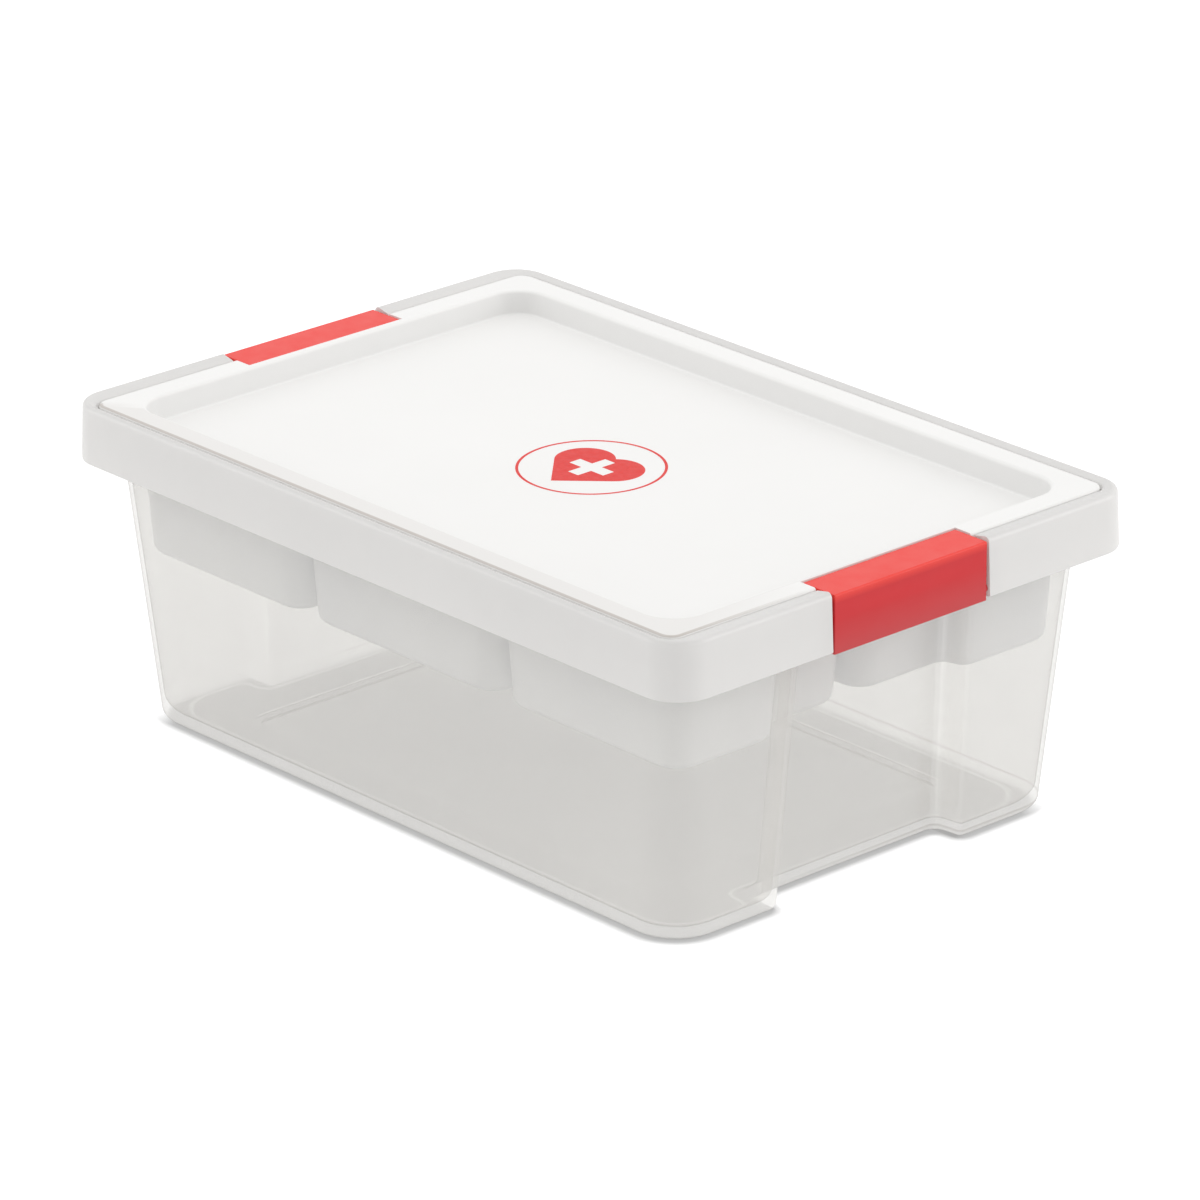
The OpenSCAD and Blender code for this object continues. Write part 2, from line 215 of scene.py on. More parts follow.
def plate(half_x, half_y, radius, segments=12, centre=(0.0, 0.0)):
    """Corners of a rounded rectangle."""
    cx, cy = centre
    return [(cx + sx * half_x, cy + sy * half_y, radius, segments)
            for sx, sy in ((-1, -1), (1, -1), (1, 1), (-1, 1))]


def open_loop(bm, face):
    """Takes the face away and returns its edges."""
    edges = list(face.edges)
    bmesh.ops.delete(bm, geom=[face], context="FACES_ONLY")
    return edges


def skin(bm, loops):
    """Joins each outline to the next, so that they make one wall."""
    for a, b in zip(loops, loops[1:]):
        if abs(a[0].verts[0].co.z - b[0].verts[0].co.z) < 0.001 * MM:
            fill(bm, a, b)
        else:
            bmesh.ops.bridge_loops(bm, edges=a + b)


def wall(bm, rows):
    """Makes a wall from (corners, z) rows and returns its outlines' edges."""
    loops = [open_loop(bm, outline(bm, corners, z)) for corners, z in rows]
    skin(bm, loops)
    return loops


def mark(bm, loop, value):
    """Notes on the loop's vertices how much painted light or shade they get. value is a function of
    a vertex.
    """
    layer = bm.verts.layers.float[PAINTED_LIGHT_LAYER]
    for e in loop:
        for v in e.verts:
            v[layer] = value(v)


def fill(bm, *loops):
    """Fills the flat area between closed loops that lie at one height."""
    bmesh.ops.triangle_fill(bm, use_beauty=True, use_dissolve=False,
                            edges=[e for loop in loops for e in loop])


def quarter(radius, steps):
    """Pairs (inset, height) along a quarter round that starts flat and ends upright. Read as
    (height, inset) they run along one that starts upright and ends flat."""
    for k in range(steps + 1):
        a = math.pi / 2 * k / steps
        yield radius * (1 - math.sin(a)), radius * (1 - math.cos(a))


def finish_shell(bm):
    """Merges doubled vertices and turns every face outwards."""
    bmesh.ops.remove_doubles(bm, verts=bm.verts, dist=0.02 * MM)
    bmesh.ops.dissolve_degenerate(bm, edges=bm.edges, dist=0.01 * MM)
    bmesh.ops.recalc_face_normals(bm, faces=bm.faces)
    loose = [e for e in bm.edges if len(e.link_faces) != 2]
    if loose:
        spots = [tuple(round(c / MM, 1) for c in e.verts[0].co) for e in loose[:6]]
        raise RuntimeError(f"a shell isn't closed: {len(loose)} edges, such as at {spots}")


def prism(points, low, high):
    """A closed bar with the section points, pairs of x and z, from y = low to y = high."""
    bm = bmesh.new()
    face = bm.faces.new([bm.verts.new((x, low, z)) for x, z in points])
    made = bmesh.ops.extrude_face_region(bm, geom=[face])
    moved = [g for g in made["geom"] if isinstance(g, bmesh.types.BMVert)]
    bmesh.ops.translate(bm, vec=(0, high - low, 0), verts=moved)
    bmesh.ops.recalc_face_normals(bm, faces=bm.faces)
    return bm


def rod(radius, segments, reach):
    """A closed round bar of length reach along the right latch's hinge line."""
    bm = bmesh.new()
    bmesh.ops.create_cone(bm, cap_ends=True, segments=segments, radius1=radius, radius2=radius,
                          depth=reach)
    bmesh.ops.rotate(bm, verts=bm.verts, cent=(0, 0, 0),
                     matrix=Matrix.Rotation(math.pi / 2, 3, "X"))
    bmesh.ops.translate(bm, vec=PIN, verts=bm.verts)
    return bm


def turned(bm, end):
    """Turns the bmesh to the other end of the box when end is -1."""
    if end < 0:
        bmesh.ops.rotate(bm, verts=bm.verts, cent=(0, 0, 0),
                         matrix=Matrix.Rotation(math.pi, 3, "Z"))
    return bm


def to_object(bm, name):
    """Puts the bmesh into a new object at the origin."""
    mesh = bpy.data.meshes.new(name)
    bm.to_mesh(mesh)
    bm.free()
    piece = bpy.data.objects.new(name, mesh)
    bpy.context.scene.collection.objects.link(piece)
    return piece


def smooth(piece):
    """Shades the piece smooth, keeps its sharp edges and lets its flat faces look flat."""
    piece.data.shade_smooth()
    piece.data.set_sharp_from_angle(angle=SHARP)
    step = piece.modifiers.new("normals", "WEIGHTED_NORMAL")
    step.keep_sharp = True
    apply_modifiers(piece)


def combine(piece, tools, operation):
    """Joins the tools to the piece, or cuts them out of it, and removes them."""
    for tool in tools:
        step = piece.modifiers.new(operation, "BOOLEAN")
        step.operation, step.solver, step.object = operation, "EXACT", tool
        apply_modifiers(piece)
        bpy.data.objects.remove(tool)


def apply_modifiers(piece):
    """Writes the result of the piece's modifiers into its mesh."""
    graph = bpy.context.evaluated_depsgraph_get()
    mesh = bpy.data.meshes.new_from_object(piece.evaluated_get(graph))
    piece.modifiers.clear()
    old, piece.data = piece.data, mesh
    bpy.data.meshes.remove(old)


def dress(piece, material, body, slot, *nodes):
    """Gives the piece its material, its body and the CAD nodes that it stands for."""
    piece.data.materials.clear()
    piece.data.materials.append(material)
    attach(piece, body)
    if nodes:
        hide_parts(*nodes)
    return piece


# ---- materials ----

class Graph:
    """A material's node tree, with short calls to add nodes and link them."""

    def __init__(self, name):
        self.material = bpy.data.materials.new(name)
        self.material.use_nodes = True
        self.tree = self.material.node_tree
        self.tree.nodes.clear()
        self.place = self.add("ShaderNodeTexCoord").outputs["Object"]

    def add(self, kind, links=None, **values):
        """Adds a node, with sockets linked or set, and settings."""
        node = self.tree.nodes.new(kind)
        for key, value in values.items():
            setattr(node, key, value)
        for socket, source in (links or {}).items():
            if isinstance(source, bpy.types.NodeSocket):
                self.tree.links.new(source, node.inputs[socket])
            else:
                node.inputs[socket].default_value = source
        return node

    def noise(self, scale, detail=2.0, stretch=(1, 1, 1), rough=0.5):
        """Noise on Object coordinates, scale in waves per metre."""
        spot = self.add("ShaderNodeMapping", {"Vector": self.place, "Scale": stretch})
        node = self.add("ShaderNodeTexNoise", {"Vector": spot.outputs[0], "Scale": scale,
                                               "Detail": detail, "Roughness": rough})
        return node.outputs["Fac"]

    def span(self, value, low, high, from_low=0.3, from_high=0.7):
        """Spreads a value over a range."""
        node = self.add("ShaderNodeMapRange", {"Value": value, "From Min": from_low,
                                               "From Max": from_high, "To Min": low,
                                               "To Max": high})
        return node.outputs[0]

    def blend(self, factor, a, b):
        """Mixes two colours."""
        node = self.add("ShaderNodeMix", data_type="RGBA")
        for socket, value in ((0, factor), (6, a), (7, b)):
            if isinstance(value, bpy.types.NodeSocket):
                self.tree.links.new(value, node.inputs[socket])
            else:
                node.inputs[socket].default_value = value
        return node.outputs[2]

    def math(self, kind, *values):
        """One arithmetic step."""
        return self.add("ShaderNodeMath", dict(enumerate(values)), operation=kind).outputs[0]

    def bump(self, height, strength, distance, normal=None):
        """Relief from a height value, on top of another relief when there is one."""
        links = {"Height": height, "Strength": strength, "Distance": distance}
        if normal is not None:
            links["Normal"] = normal
        return self.add("ShaderNodeBump", links).outputs[0]

    def out(self, shader):
        """Links the shader to the output and returns the material."""
        self.add("ShaderNodeOutputMaterial", {"Surface": shader})
        return self.material


def shade(colour, factor):
    """The colour times a factor, with alpha 1."""
    return tuple(min(1.0, c * factor) for c in colour) + (1.0,)


def painted_recess_highlights(g, x, y, height, recess):
    """Painted highlights on the sides and the upright edges of the end recesses, from 0 to 1."""
    # how far past the recess's side, and how deep behind the end wall's plane
    past = g.math("MULTIPLY_ADD", height, RECESS_TAPER / RECESS_TOP, g.math("ABSOLUTE", y))
    past = g.math("SUBTRACT", past, RECESS_HALF - RECESS_SPREAD)
    depth = g.math("SUBTRACT", g.math("MULTIPLY_ADD", height, END_LEAN, BASE_X),
                   g.math("ABSOLUTE", x))
    lines = g.math("MULTIPLY", g.span(g.math("ABSOLUTE", past), 0.3, 0, 1.4 * MM, 2.6 * MM),
                   g.span(depth, 1, 0, recess + 2 * MM, recess + 4 * MM))
    spot = g.add("ShaderNodeCombineXYZ", {0: depth, 1: past}).outputs[0]
    for edge in ((0.3 * MM, 0.5 * MM, 0), (recess - 0.3 * MM, -0.5 * MM, 0)):
        near = g.add("ShaderNodeVectorMath", {0: spot, 1: edge},
                     operation="DISTANCE").outputs["Value"]
        lines = g.math("MAXIMUM", lines, g.span(near, 0.9, 0, 0.4 * MM, 1.2 * MM))
    return lines


def clear_plastic(name, colour, haze, glow, milk=None, recess=0.0):
    """Milky see-through plastic: a pale veil over what is behind it, under a gloss that grows at
    grazing angles, where less light passes too. Without milk, a faint painted glow lights the whole
    surface. With milk, this is the tub's plastic: above the collar's lower edge the veil thickens,
    the collar's top is darkened by painted shade, and painted highlights glow along the floor's
    edges and the recesses' upright edges. Marks above 0 are painted highlights that glow, and marks
    below 0 are painted shade that darkens what is seen through the surface."""
    g = Graph(name)
    flow = g.noise(9, 3)
    colour_now = g.blend(g.span(flow, 0, 1), shade(colour, 0.985), shade(colour, 1.012))
    peel = g.bump(g.noise(520, 2), 0.12, 0.05 * MM)
    wave = g.bump(g.noise(24, 1), 0.3, 0.3 * MM, peel)
    rough = g.span(g.noise(60, 4), 0.32, 0.40)
    marks = g.add("ShaderNodeAttribute", attribute_name=PAINTED_LIGHT_LAYER).outputs["Fac"]
    # what passes through: less where a mark below 0 paints shade, and less at grazing angles
    tinge = g.blend(g.span(marks, 1, 0, -1, 0), (0.956, 0.953, 0.946, 1), (0.76, 0.74, 0.72, 1))
    facing = g.add("ShaderNodeLayerWeight", {"Blend": 0.5}).outputs["Facing"]
    tinge = g.blend(g.math("POWER", facing, 6.0), tinge, (0.62, 0.61, 0.595, 1))
    clear = g.add("ShaderNodeBsdfTransparent", {"Color": tinge})
    veil = g.span(g.noise(32, 4), haze * 0.94, haze * 1.06)
    painted_glow = 0.22  # painted glow: the tray gives off a faint light of its own
    if milk is not None:
        x, y, height = g.add("ShaderNodeSeparateXYZ", {"Vector": g.place}).outputs
        collar = COLLAR_EDGE - 1.5 * MM, COLLAR_EDGE
        # painted highlights glow on the recesses' edges below the collar and on the marked edges
        lines = painted_recess_highlights(g, x, y, height, recess)
        lines = g.math("MULTIPLY", lines, g.span(height, 1, 0, *collar))
        painted_glow = g.math("MAXIMUM", lines, marks)
        veil = g.math("ADD", veil, g.span(height, 0, milk - haze, *collar))
        glow = g.span(height, glow, 0.25, *collar)
        # painted shade: the collar's top is darkened
        top = g.span(height, 0, 1, TUB_TOP.z - 2 * MM, TUB_TOP.z - 0.3 * MM)
        colour_now = g.blend(top, colour_now, shade(colour, 0.93))
    body = g.add("ShaderNodeBsdfPrincipled",
                 {"Base Color": colour_now, "Roughness": rough, "IOR": 1.49, "Normal": wave})
    back = g.add("ShaderNodeBsdfTranslucent", {"Color": colour_now, "Normal": wave})
    flesh = g.add("ShaderNodeMixShader", {0: glow, 1: body.outputs[0], 2: back.outputs[0]})
    mix = g.add("ShaderNodeMixShader", {0: g.math("MINIMUM", veil, 1.0),
                                         1: clear.outputs[0], 2: flesh.outputs[0]})
    shine = g.math("MULTIPLY_ADD", g.math("POWER", facing, 4.0), 0.17, 0.03)
    if milk is not None:
        shine = g.math("MULTIPLY", shine, g.span(height, 1, 0.5, *collar))
        shine = g.math("MULTIPLY", shine, g.span(height, 0.1, 1, 2 * MM, 8 * MM))
    gloss = g.add("ShaderNodeBsdfGlossy",
                  {"Color": (1, 1, 1, 1), "Roughness": 0.14, "Normal": wave})
    coat = g.add("ShaderNodeMixShader", {0: shine, 1: mix.outputs[0], 2: gloss.outputs[0]})
    # the painted glow and highlights, given off as light
    light = g.add("ShaderNodeEmission", {"Strength": g.math("MULTIPLY", painted_glow, 0.08)})
    lit = g.add("ShaderNodeAddShader", {0: coat.outputs[0], 1: light.outputs[0]})
    return g.out(lit.outputs[0])


def white_plastic(name, colour):
    """Satin white plastic with a fine grain, darkened by painted shade on the well's sides and at
    marked edges.
    """
    g = Graph(name)
    tone = g.blend(g.span(g.noise(11, 4), 0, 1), shade(colour, 0.99), shade(colour, 1.008))
    height = g.add("ShaderNodeSeparateXYZ", {"Vector": g.place}).outputs["Z"]
    # painted shade: the well's sides are darkened
    well = g.math("MINIMUM", g.span(height, 0, 1, LID_HIGH.z - 10.3 * MM, LID_HIGH.z - 9.5 * MM),
                  g.span(height, 1, 0, LID_HIGH.z - 1.5 * MM, LID_HIGH.z - 0.3 * MM))
    tone = g.blend(well, tone, shade(colour, 0.88))
    # painted shade at the lid's marked edges
    painted_shade = g.add("ShaderNodeAttribute", attribute_name=PAINTED_LIGHT_LAYER).outputs["Fac"]
    tone = g.blend(painted_shade, tone, (0.45, 0.40, 0.36, 1))
    grain = g.bump(g.noise(1500, 2), 0.10, 0.03 * MM)
    soft = g.bump(g.noise(30, 2), 0.2, 0.15 * MM, grain)
    rough = g.span(g.noise(90, 5), 0.36, 0.46)
    body = g.add("ShaderNodeBsdfPrincipled",
                 {"Base Color": tone, "Roughness": rough, "IOR": 1.49, "Normal": soft,
                  "Specular IOR Level": 0.4})
    return g.out(body.outputs[0])


def red_plastic(name, colour):
    """Satin red plastic with faint flow marks and a fine grain, with a painted sheen on top and
    painted shade towards the lower edge.
    """
    g = Graph(name)
    streak = g.noise(70, 4, (1, 0.12, 1))
    tone = g.blend(g.span(streak, 0, 1), shade(colour, 0.96), shade(colour, 1.04))
    height = g.add("ShaderNodeSeparateXYZ", {"Vector": g.place}).outputs["Z"]
    # painted sheen: the latch's top is lightened
    painted_top_sheen = g.span(height, 0, 1, LATCH_HIGH.z - 4 * MM, LATCH_HIGH.z - 0.5 * MM)
    tone = g.blend(painted_top_sheen, tone, (0.83, 0.048, 0.036, 1))
    # painted shade: the flap darkens towards its lower edge
    tone = g.blend(g.span(height, 1, 0, COLLAR_EDGE, COLLAR_EDGE + 14 * MM), tone,
                   (0.55, 0.045, 0.05, 1))
    grain = g.bump(g.noise(1100, 2), 0.14, 0.03 * MM)
    rough = g.span(g.noise(120, 4), 0.34, 0.46)
    body = g.add("ShaderNodeBsdfPrincipled",
                 {"Base Color": tone, "Roughness": rough, "IOR": 1.49, "Normal": grain,
                  "Specular IOR Level": 0.4})
    return g.out(body.outputs[0])


def red_ink(name, colour):
    """Printed red ink, flat and slightly uneven."""
    g = Graph(name)
    cover = g.noise(900, 3)
    tone = g.blend(g.span(cover, 0, 1), shade(colour, 0.96), shade(colour, 1.05))
    rough = g.span(g.noise(300, 3), 0.45, 0.6)
    body = g.add("ShaderNodeBsdfPrincipled",
                 {"Base Color": tone, "Roughness": rough, "IOR": 1.49,
                  "Specular IOR Level": 0.35})
    return g.out(body.outputs[0])


# ---- the tub ----

def end_x(z):
    """Half the tub's length at height z."""
    return BASE_X + END_LEAN * z


def footprint(settings, z, inset, depth_extra, grow):
    """Corners of the tub's wall at height z, with the recess in each end. inset draws the wall
    in, depth_extra deepens the recess, and grow widens it."""
    half_x = end_x(z) - inset
    half_y = BASE_Y + SIDE_LEAN * z - inset
    face = end_x(z) - settings.recess - depth_extra
    half = RECESS_HALF - RECESS_TAPER * z / RECESS_TOP + grow
    outside, inside = half - RECESS_SPREAD * 0.67, half - RECESS_SPREAD * 1.33
    inner = depth_extra > settings.wall * 0.9
    corner = settings.corner - (settings.wall if inner else 0)
    lip, root = (1.4 * MM, 5.6 * MM) if inner else (2.4 * MM, 4.0 * MM)
    right = [(half_x, -half_y, corner, 12), (half_x, -outside, lip, 5), (face, -inside, root, 6),
             (face, inside, root, 6), (half_x, outside, lip, 5), (half_x, half_y, corner, 12)]
    return right + [(-x, -y, r, n) for x, y, r, n in right]


def close_recess(bm, loop, z, plane):
    """Steps the recess out to the wall's plane at height z and returns the new outline."""
    made = bmesh.ops.extrude_edge_only(bm, edges=loop)["geom"]
    verts = [g for g in made if isinstance(g, bmesh.types.BMVert)]
    for v in verts:
        if abs(v.co.y) < RECESS_HALF + 4 * MM:
            v.co.x = math.copysign(plane, v.co.x)
    return [g for g in made if isinstance(g, bmesh.types.BMEdge)
            and all(w in verts for w in g.verts)]


def raise_loop(bm, loop, height, spread):
    """Extrudes an outline upward and spreads it outward."""
    made = bmesh.ops.extrude_edge_only(bm, edges=loop)["geom"]
    verts = {g for g in made if isinstance(g, bmesh.types.BMVert)}
    for v in verts:
        v.co += Vector((math.copysign(spread, v.co.x), math.copysign(spread, v.co.y), height))
    return [g for g in made if isinstance(g, bmesh.types.BMEdge)
            and all(w in verts for w in g.verts)]


def tub_wall(bm, rows, top):
    """One side of the tub's wall: notched rows, the recess's shelf, and up to the top."""
    loops = wall(bm, rows)
    depth = rows[-1][1]
    half = max(abs(c[0]) for c in rows[-1][0])
    plain = close_recess(bm, loops[-1], depth, half)
    high = raise_loop(bm, plain, top - depth, SIDE_LEAN * (top - depth))
    return loops, high


def panel(inset, z, tighter=0.0):
    """Corners of the floor's raised panel at height z, drawn in by inset."""
    return (plate(PANEL_X - inset, PANEL_Y - inset, 4 * MM - inset - tighter, 4), z)


def pocket(grow, z, ledge=False):
    """The lid's pocket at height z, widened by grow, or the narrower pocket under the ledge."""
    grow -= LEDGE if ledge else 0
    return (plate(POCKET_X + grow, POCKET_Y + grow, POCKET_R + grow), z)


def collar(inset, z):
    """The collar's outline at height z, drawn in by inset."""
    return (plate(TUB_TOP.x - inset, TUB_TOP.y - inset, COLLAR_CORNER - inset), z)


def rim_rows(settings):
    """Rows from the rim's underside, down inside the collar, up outside it, over the top and
    down the pocket to the tray's ledge."""
    t, flare, top, edge = settings.wall, settings.flare, TUB_TOP.z, COLLAR_EDGE
    thick, outer_r = settings.collar_wall, settings.collar_round
    inner_r = max(outer_r - thick, 0.3 * MM)
    rows = [pocket(t, TRAY_SEAT - t, True), pocket(t, LID_SEAT - t, True),
            pocket(t, LID_SEAT - t), pocket(t, top - thick)]
    rows += [collar(flare + thick + i, top - thick - h) for i, h in quarter(inner_r, 3)]
    lip = 0.8 * MM
    rows += [collar(thick, edge + lip), collar(thick - 0.25 * lip, edge + 0.25 * lip),
             collar(thick - lip, edge), collar(lip, edge), collar(0.25 * lip, edge + 0.25 * lip),
             collar(0, edge + lip)]
    rows += [collar(flare + i, top - h) for h, i in quarter(outer_r, 6)]
    soft, fall, snug = 0.9 * MM, 1.2 * MM, -0.6 * MM
    rows += [pocket(i, top - fall - h) for i, h in quarter(soft, 3)]
    return rows + [pocket(snug, top - 2.8 * MM), pocket(snug, LID_SEAT),
                   pocket(0, LID_SEAT, True), pocket(0, TRAY_SEAT, True)]


def tub_shell(settings):
    """The tub as one closed shell, before its latch notches are cut."""
    bm = bmesh.new()
    bm.verts.layers.float.new(PAINTED_LIGHT_LAYER)
    t = settings.wall
    # outside, from the foot to the rim's underside
    rows = [(footprint(settings, h, i, i, i), h)
            for i, h in [*quarter(settings.foot, 5), (0, settings.foot + 0.8 * MM)]]
    rows += [(footprint(settings, z, 0, 0, 0), z) for z in (45 * MM, 90 * MM, RECESS_TOP)]
    foot, outer_top = tub_wall(bm, rows, TRAY_SEAT - t)
    mark(bm, foot[5], lambda v: -1 if v.co.y > 0 else 0.0)  # painted shade: the back feet's edge is darkened
    # inside, from the floor's fillet to the tray's ledge
    low, round_off, beside = settings.floor, settings.fillet, 0.8 * MM
    rows = [(footprint(settings, low + h, t + i, t + i, t + i), low + h)
            for i, h in [(round_off + beside, 0), *quarter(round_off, 7), (0, round_off + beside)]]
    rows += [(footprint(settings, z, t, t, t), z) for z in (45 * MM, 90 * MM, RECESS_TOP + t)]
    fillet, inner_top = tub_wall(bm, rows, TRAY_SEAT)
    mark(bm, fillet[1], lambda v: 1.6)  # painted highlight: the fillet's line on the floor glows
    # the floor, with its raised panel
    under = wall(bm, [panel(t, 0, 1 * MM - t), panel(t, PANEL_RISE - 0.4 * MM, 1 * MM - t),
                      panel(t + 0.4 * MM, PANEL_RISE, 1 * MM - t)])
    step = low + PANEL_RISE
    above = wall(bm, [panel(0, low), panel(0, step - 1.2 * MM), panel(0.35 * MM, step - 0.4 * MM),
                      panel(1.2 * MM, step), panel(1.2 * MM + beside, step)])
    band = 1.5 * MM  # painted highlights: of the panel's edges, the back and the left one glow most
    for loop in above[2:4]:
        mark(bm, loop, lambda v: 3 if v.co.y > PANEL_Y - band or v.co.x < band - PANEL_X else 0.2)
    fill(bm, foot[0], under[0])
    fill(bm, under[-1])
    fill(bm, fillet[0], above[0])
    fill(bm, above[-1])
    # the rim and the collar, in one run from the rim's underside over the top to the tray's ledge
    run = wall(bm, rim_rows(settings))
    fill(bm, outer_top, run[0])
    fill(bm, inner_top, run[-1])
    finish_shell(bm)
    return bm


def notch_section():
    """The latch's notch in the collar, as a section in x and z."""
    back, front = POCKET_X - 2 * MM, TUB_TOP.x + 5 * MM
    foot, head = COLLAR_EDGE - 2 * MM, TUB_TOP.z + 3 * MM
    return [(back, LATCH_SILL), (NOTCH_X, LATCH_SILL), (NOTCH_X, foot), (front, foot),
            (front, head), (back, head)]


def cheek_section(settings):
    """The plate beside each latch, as a section in x and z that ends inside the walls."""
    t, edge, top = settings.wall, COLLAR_EDGE + 0.15 * MM, TUB_TOP.z - settings.collar_wall * 0.55
    tray_x = POCKET_X - LEDGE
    return [(end_x(edge) - 0.9 * t, edge), (end_x(TRAY_SEAT) - t, TRAY_SEAT - t / 2),
            (tray_x + t / 2, TRAY_SEAT - t / 2), (tray_x + t / 2, LID_SEAT - t / 2),
            (POCKET_X + t / 2, LID_SEAT - t / 2), (POCKET_X + t / 2, top),
            (TUB_TOP.x - settings.flare - settings.collar_round, top),
            (TUB_TOP.x - settings.flare - 1.1 * MM, TUB_TOP.z - settings.collar_round),
            (TUB_TOP.x - 1.1 * MM, edge)]


def build_tub(settings):
    """The tub: its shell, the plates beside the latches, the notches and the pins' bores."""
    tub = to_object(tub_shell(settings), "tub_body")
    cheeks, cuts = [], []
    for end in (1, -1):
        for low, high in ((NOTCH_HALF - 1 * MM, NOTCH_HALF + CHEEK),
                          (-NOTCH_HALF - CHEEK, -NOTCH_HALF + 1 * MM)):
            cheek = prism(cheek_section(settings), low, high)
            cheeks.append(to_object(turned(cheek, end), "cheek"))
        notch = prism(notch_section(), -NOTCH_HALF, NOTCH_HALF)
        cuts.append(to_object(turned(notch, end), "notch"))
        bore = rod(BORE_RADIUS, 32, 2 * (NOTCH_HALF + CHEEK) + 1 * MM)
        cuts.append(to_object(turned(bore, end), "bore"))
    combine(tub, cheeks, "UNION")
    combine(tub, cuts, "DIFFERENCE")
    soften_notches(tub)
    smooth(tub)
    return tub


def soften_notches(tub):
    """Rounds the collar's upright edges beside the latches."""
    bm = bmesh.new()
    bm.from_mesh(tub.data)
    bmesh.ops.remove_doubles(bm, verts=bm.verts, dist=0.005 * MM)
    reach = TUB_TOP.x - 12 * MM
    edges = []
    for e in bm.edges:
        on_cut = all(abs(abs(v.co.y) - NOTCH_HALF) < 0.02 * MM for v in e.verts)
        outer = all(abs(v.co.x) > reach for v in e.verts)
        if on_cut and outer and len(e.link_faces) == 2:
            flat = [f for f in e.link_faces if abs(f.normal.y) > 0.9]
            bent = [f for f in e.link_faces if abs(f.normal.y) < 0.3 and
                    (abs(f.normal.x) > 0.5 or f.normal.z > 0.3)]
            middle = (e.verts[0].co + e.verts[1].co) / 2
            shows = abs(middle.x) > PIN.x or middle.z > TUB_TOP.z - 1 * MM
            if flat and bent and shows:
                edges.append(e)
    bmesh.ops.bevel(bm, geom=edges, offset=0.9 * MM, offset_type="OFFSET", segments=3,
                    profile=0.5, affect="EDGES", material=-1, clamp_overlap=True)
    bm.to_mesh(tub.data)
    bm.free()


# ---- the tray ----

def cup_corners(settings, tub, column, row, z, inset):
    """Corners of one cup at height z, drawn in by inset. column is -1, 0 or 1, and row -1 or 1."""
    out = CUP_LEAN * (z - TRAY_LOW.z) - inset
    reach_x = end_x(TRAY_LOW.z) - tub.wall - 4.8 * MM
    reach_y = BASE_Y + SIDE_LEAN * TRAY_LOW.z - tub.wall - 7.0 * MM
    r = settings.corner - inset
    y0, y1 = CUP_GAP_Y / 2 - out, reach_y + out
    if column == 0:
        corners = [(-CUP_MIDDLE - out, y0, r, 8), (CUP_MIDDLE + out, y0, r, 8),
                   (CUP_MIDDLE + out, y1, r, 8), (-CUP_MIDDLE - out, y1, r, 8)]
    else:
        x0, x1 = CUP_MIDDLE + CUP_GAP_X - out, reach_x + out
        face = end_x(z) - tub.recess - tub.wall - 1.8 * MM - inset
        half = RECESS_HALF - RECESS_TAPER * z / RECESS_TOP + CUP_RECESS_GAP + inset
        corners = [(x0, y0, r, 8), (face, y0, r, 8), (face, half - 3.3 * MM, 5 * MM, 5),
                   (x1, half - 1.5 * MM, 5 * MM, 5), (x1, y1, r, 8), (x0, y1, r, 8)]
    if column < 0:
        corners = [(-x, y, rr, n) for x, y, rr, n in reversed(corners)]
    if row < 0:
        corners = [(x, -y, rr, n) for x, y, rr, n in reversed(corners)]
    return corners


def build_tray(settings, tub):
    """The tray: a deck with six cups hanging from it."""
    bm = bmesh.new()
    t, top, low, under = settings.wall, TRAY_HIGH.z, TRAY_LOW.z, TRAY_SEAT
    lip = 0.5 * MM
    deck = wall(bm, [(plate(TRAY_HIGH.x - i, TRAY_HIGH.y - i, 5 * MM - i, 6), z) for i, z in
                     ((lip, under), (0.1 * MM, under + 0.1 * MM), (0, under + lip),
                      (0, top - lip), (0.1 * MM, top - 0.1 * MM), (lip, top))])
    mouths, roots = [], []
    for column in (-1, 0, 1):
        for row in (-1, 1):
            def at(z, inset):
                return (cup_corners(settings, tub, column, row, z, inset), z)
            outer = wall(bm, [at(low + h, i) for i, h in quarter(settings.bottom, 5)]
                         + [at(under, 0)])
            inner = wall(bm, [at(low + t + h, t + i) for i, h in quarter(settings.bottom - t, 5)]
                         + [at(top - 1 * MM, t), at(top - 0.3 * MM, t - 0.3 * MM),
                            at(top, t - 1 * MM)])
            fill(bm, outer[0])
            fill(bm, inner[0])
            roots.append(outer[-1])
            mouths.append(inner[-1])
    fill(bm, deck[-1], *mouths)
    fill(bm, deck[0], *roots)
    finish_shell(bm)
    tray = to_object(bm, "cup_tray")
    smooth(tray)
    return tray


# ---- the lid ----

